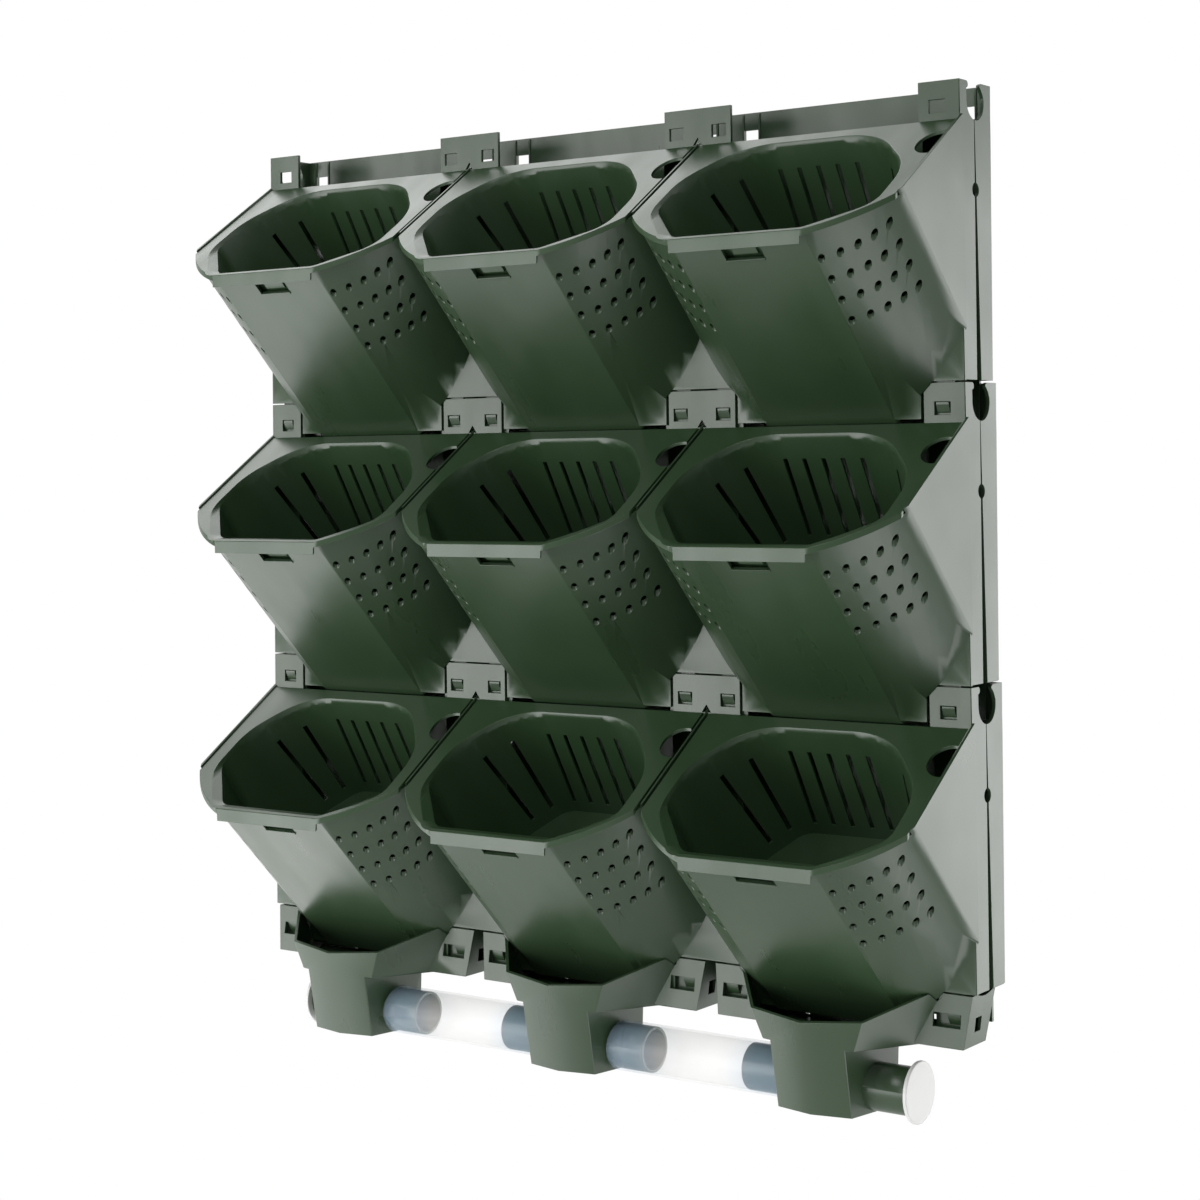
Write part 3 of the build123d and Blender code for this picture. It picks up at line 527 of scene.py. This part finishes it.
@dataclass
class WallRows:
    """Three rows of pockets: front housings, back panels and lift-out liners.

    Attributes:
        nodes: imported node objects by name.
        housing_edge: rounding of the housings.
        panel_edge: rounding of the back panels.
        liner_edge: rounding of the liners.
    """

    nodes: dict[str, bpy.types.Object]
    housing_edge: EdgeRound = EdgeRound(0.0006)
    panel_edge: EdgeRound = EdgeRound(0.0005)
    liner_edge: EdgeRound = EdgeRound(0.0006, least_angle=40.0, curve_angle=25.0)

    def build(self, body: bpy.types.Material, liner: bpy.types.Material) -> None:
        """Model and dress the rows.

        Args:
            body: material of housings and back panels.
            liner: material of the liners.
        """
        housings = {"housing_" + row: FIXED_BODY for row in ROWS}
        Moulding(self.nodes, housings, self.housing_edge).build(body, Slot.BODY)
        panels = {"back_panel_" + row: FIXED_BODY for row in ROWS}
        Moulding(self.nodes, panels, self.panel_edge).build(body, Slot.BODY)
        names = ["liner_%s_%s" % (row, column) for row in ROWS for column in COLUMNS]
        Moulding(self.nodes, {name: name for name in names}, self.liner_edge).build(liner, Slot.LINER)


@dataclass
class DrainLine:
    """Collectors under the lowest row with the tubes between them and a plug at each end.

    Attributes:
        nodes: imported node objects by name.
        collector_edge: rounding of the collectors.
        tube_edge: rounding of the tubes.
        plug_edge: rounding of the plugs.
    """

    nodes: dict[str, bpy.types.Object]
    collector_edge: EdgeRound = EdgeRound(0.0006)
    tube_edge: EdgeRound = EdgeRound(0.0003)
    plug_edge: EdgeRound = EdgeRound(0.0007, fine=1.0, segments=3)

    def build(self, body: bpy.types.Material, tube: bpy.types.Material, plug: bpy.types.Material) -> None:
        """Model and dress the drain line.

        Args:
            body: material of the collectors.
            tube: material of the tubes.
            plug: material of the plugs.
        """
        for columns in (COLUMNS[:1], COLUMNS[1:]):
            collectors = {"collector_" + column: FIXED_BODY for column in columns}
            Moulding(self.nodes, collectors, self.collector_edge).build(body, Slot.BODY)
        tubes = {"tube_left": FIXED_BODY, "tube_right": FIXED_BODY}
        Moulding(self.nodes, tubes, self.tube_edge).build(tube, Slot.TUBE)
        for name in ("plug_left", "plug_right"):
            Moulding(self.nodes, {name: name}, self.plug_edge).build(plug, Slot.PLUG)


@dataclass(frozen=True)
class Softbox:
    """Rectangular studio lamp.

    Attributes:
        name: lamp name.
        place: centre of the lamp.
        target: point that it faces.
        width: width in metres.
        height: height in metres.
        brightness: radiance of its face.
    """

    name: str
    place: tuple[float, float, float]
    target: tuple[float, float, float]
    width: float
    height: float
    brightness: float

    def build(self) -> None:
        """Add the lamp to the scene."""
        bpy.ops.object.light_add(type="AREA", location=self.place)
        lamp = bpy.context.object
        lamp.name = self.name
        aim = Vector(self.target) - Vector(self.place)
        lamp.rotation_euler = aim.to_track_quat("-Z", "Y").to_euler()
        lamp.data.shape = "RECTANGLE"
        lamp.data.size = self.width
        lamp.data.size_y = self.height
        lamp.data.energy = self.brightness * math.pi * self.width * self.height
        lamp.visible_camera = False


@dataclass(frozen=True)
class Studio:
    """Pale floor, white backdrop behind the object, a dimmer room before it and soft lamps.

    Attributes:
        floor_drop: floor below the object.
        floor_size: side of the floor.
        fill: brightness of the surroundings as a light.
        room: brightness of the room before the object, as gloss shows it.
        shadow: share of the real shade that the floor shows under the object.
        fade: distance at which the floor has faded into the white backdrop.
        lamps: softboxes round the object.
        PAPER: brightness of the floor.
        ROOM_END: how far back a reflection looks where the room begins to brighten.
        BACKDROP: how far back it looks where the backdrop is fully white.
    """

    PAPER: ClassVar[float] = 0.86
    ROOM_END: ClassVar[float] = -0.15
    BACKDROP: ClassVar[float] = 0.35

    floor_drop: float
    floor_size: float
    fill: float
    room: float
    shadow: float
    fade: float
    lamps: tuple[Softbox, ...]

    @staticmethod
    def either(
        wiring: Wiring, one: bpy.types.NodeSocket, other: bpy.types.NodeSocket
    ) -> bpy.types.NodeSocket:
        """Add a node that gives the larger of two values.

        Args:
            wiring: tree to add the node to.
            one: first value.
            other: second value.

        Returns:
            The larger value.
        """
        node = wiring.add("ShaderNodeMath", operation="MAXIMUM")
        wiring.join(one, node.inputs[0])
        wiring.join(other, node.inputs[1])
        return node.outputs[0]

    @staticmethod
    def chosen(
        wiring: Wiring, choice: bpy.types.NodeSocket, low: bpy.types.NodeSocket | float,
        high: bpy.types.NodeSocket | float
    ) -> bpy.types.NodeSocket:
        """Add a node that goes from one value to another.

        Args:
            wiring: tree to add the node to.
            choice: 0 for the first value and 1 for the second.
            low: first value, a number or a socket.
            high: second value, a number or a socket.

        Returns:
            The chosen value.
        """
        node = wiring.add("ShaderNodeMapRange")
        wiring.join(choice, node.inputs["Value"])
        for name, value in (("To Min", low), ("To Max", high)):
            if isinstance(value, float):
                node.inputs[name].default_value = value
            else:
                wiring.join(value, node.inputs[name])
        return node.outputs["Result"]

    def surroundings(self) -> None:
        """Set the world.

        It is white to the eye and through glass, shows backdrop and room in gloss, and is a plain fill else.
        """
        world = bpy.data.worlds.new("surroundings")
        bpy.context.scene.world = world
        world.use_nodes = True
        wiring = Wiring(world.node_tree)
        path = wiring.add("ShaderNodeLightPath").outputs
        heading = wiring.add("ShaderNodeSeparateXYZ")
        wiring.join(wiring.add("ShaderNodeTexCoord").outputs["Generated"], heading.inputs["Vector"])
        behind = wiring.add("ShaderNodeMapRange")
        wiring.join(heading.outputs["Y"], behind.inputs["Value"])
        behind.inputs["From Min"].default_value = self.ROOM_END
        behind.inputs["From Max"].default_value = self.BACKDROP
        behind.inputs["To Min"].default_value = self.room
        behind.inputs["To Max"].default_value = 1.0
        gloss = self.chosen(wiring, path["Is Glossy Ray"], self.fill, behind.outputs["Result"])
        seen = self.either(wiring, path["Is Camera Ray"], path["Is Transmission Ray"])
        light = wiring.add("ShaderNodeBackground")
        light.inputs["Color"].default_value = (1.0, 1.0, 1.0, 1.0)
        wiring.join(self.chosen(wiring, seen, gloss, 1.0), light.inputs["Strength"])
        wiring.join(light.outputs["Background"], wiring.add("ShaderNodeOutputWorld").inputs["Surface"])

    def floor(self, lowest: float) -> None:
        """Lay the floor.

        Args:
            lowest: lowest height of the object.
        """
        bpy.ops.object.select_all(action="DESELECT")
        bpy.ops.mesh.primitive_plane_add(size=self.floor_size, location=(0.0, 0.0, lowest - self.floor_drop))
        floor = bpy.context.object
        floor.name = "floor"
        paper = bpy.data.materials.new("floor_paper")
        paper.use_nodes = True
        wiring = Wiring(paper.node_tree)
        matt = wiring.add("ShaderNodeBsdfDiffuse")
        matt.inputs["Color"].default_value = (self.PAPER, self.PAPER, self.PAPER, 1.0)
        white = wiring.add("ShaderNodeEmission")
        path = wiring.add("ShaderNodeLightPath").outputs
        straight = self.either(wiring, path["Is Camera Ray"], path["Is Transmission Ray"])
        seen = self.either(wiring, straight, path["Is Glossy Ray"])
        away = wiring.add("ShaderNodeVectorMath", operation="LENGTH")
        wiring.join(wiring.add("ShaderNodeTexCoord").outputs["Object"], away.inputs[0])
        whiter = wiring.add("ShaderNodeMapRange", interpolation_type="SMOOTHSTEP")
        wiring.join(away.outputs["Value"], whiter.inputs["Value"])
        whiter.inputs["From Max"].default_value = self.fade
        whiter.inputs["To Min"].default_value = 1.0 - self.shadow
        blend = wiring.add("ShaderNodeMixShader")
        wiring.join(self.chosen(wiring, seen, 0.0, whiter.outputs["Result"]), blend.inputs["Fac"])
        wiring.join(matt.outputs["BSDF"], blend.inputs[1])
        wiring.join(white.outputs["Emission"], blend.inputs[2])
        wiring.join(blend.outputs["Shader"], wiring.add("ShaderNodeOutputMaterial").inputs["Surface"])
        floor.data.materials.append(paper)
        floor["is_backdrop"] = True

    def build(self, lowest: float) -> None:
        """Set up floor, surroundings and lamps.

        Args:
            lowest: lowest height of the object.
        """
        self.surroundings()
        self.floor(lowest)
        for lamp in self.lamps:
            lamp.build()
        bpy.context.scene.view_settings.view_transform = "Standard"


@dataclass(frozen=True)
class PhotoCamera:
    """Camera at the photograph's viewpoint, for a square frame.

    Attributes:
        place: where the camera stands.
        turn: angle of the view to the left of the wall's normal, in radians.
        rise: angle of the view above level.
        roll: turn of the picture.
        lens: focal length in millimetres.
        film: width of the film in millimetres.
        shift: how far the frame is moved up, or down if below 0, as a share of its width.
    """

    place: tuple[float, float, float] = (0.98286, -1.39519, -0.02557)
    turn: float = 0.6218
    rise: float = 0.0363
    roll: float = -0.0141
    lens: float = 71.016
    film: float = 36.0
    shift: float = -0.18912

    def build(self) -> None:
        """Add the camera and make it the scene's camera."""
        bpy.ops.object.camera_add()
        camera = bpy.context.object
        camera.name = "photo_camera"
        level = math.cos(self.rise)
        ahead = Vector((-math.sin(self.turn) * level, math.cos(self.turn) * level, math.sin(self.rise)))
        right = Vector((math.cos(self.turn), math.sin(self.turn), 0.0))
        up = right.cross(ahead)
        tilted = right * math.cos(self.roll) + up * math.sin(self.roll)
        upright = up * math.cos(self.roll) - right * math.sin(self.roll)
        axes = Matrix((tilted, upright, -ahead)).transposed().to_4x4()
        camera.matrix_world = Matrix.Translation(self.place) @ axes
        camera.data.lens = self.lens
        camera.data.sensor_width = self.film
        camera.data.shift_y = self.shift
        bpy.context.scene.camera = camera


BODY_GREEN = MouldedPlastic(
    "body_green", (0.022, 0.045, 0.020), (0.027, 0.053, 0.024), 0.26, 0.38, 0.0003, 0.00001
)
LINER_GREEN = MouldedPlastic(
    "liner_green", (0.021, 0.047, 0.019), (0.027, 0.056, 0.024), 0.28, 0.4, 0.0003, 0.00001
)
# the second colour of the tubes is painted shade over the spigots
FROSTED = FrostedPlastic(
    "frosted_tube", (0.83, 0.82, 0.79), (0.43, 0.56, 0.72), 0.17, 0.25, middle=0.1, clear=0.02, spigot=0.05
)
WHITE = MouldedPlastic("white_plug", (0.58, 0.58, 0.57), (0.62, 0.62, 0.61), 0.34, 0.44, 0.0001, 0.00001)

STUDIO = Studio(
    floor_drop=0.6,
    floor_size=14.0,
    fill=0.32,
    room=0.3,
    shadow=0.8,
    fade=1.5,
    lamps=(
        Softbox("front_left_softbox", (-1.45, -2.1, -0.2), (0.0, -0.05, -0.05), 1.7, 1.8, 5.0),
        Softbox("front_top_softbox", (0.5, -1.9, 1.2), (0.0, -0.05, -0.1), 1.1, 0.9, 4.9),
        Softbox("rear_right_softbox", (1.5, 1.6, -0.4), (0.3, -0.05, 0.0), 1.6, 1.8, 3.2),
        Softbox("top_softbox", (-1.6, 0.8, 1.55), (0.0, 0.0, 0.2), 2.2, 1.2, 2.2),
        Softbox("low_left_reflector", (-0.85, -0.35, -0.85), (-0.2, -0.1, 0.0), 1.2, 1.3, 1.8),
        Softbox("low_right_reflector", (0.75, -0.25, -0.95), (0.25, -0.1, 0.0), 0.7, 0.7, 2.8),
    ),
)


def main() -> None:
    """Build the pieces, the studio and the camera, and measure the object's bounds."""
    logging.basicConfig(level=logging.INFO, format="%(name)s: %(message)s")
    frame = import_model()
    low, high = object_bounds()
    body = BODY_GREEN.build()
    WallRows(frame["nodes"]).build(body, LINER_GREEN.build())
    DrainLine(frame["nodes"]).build(body, FROSTED.build(), WHITE.build())
    STUDIO.build(low.z)
    PhotoCamera().build()
    low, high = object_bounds()


if __name__ == "__main__":
    main()
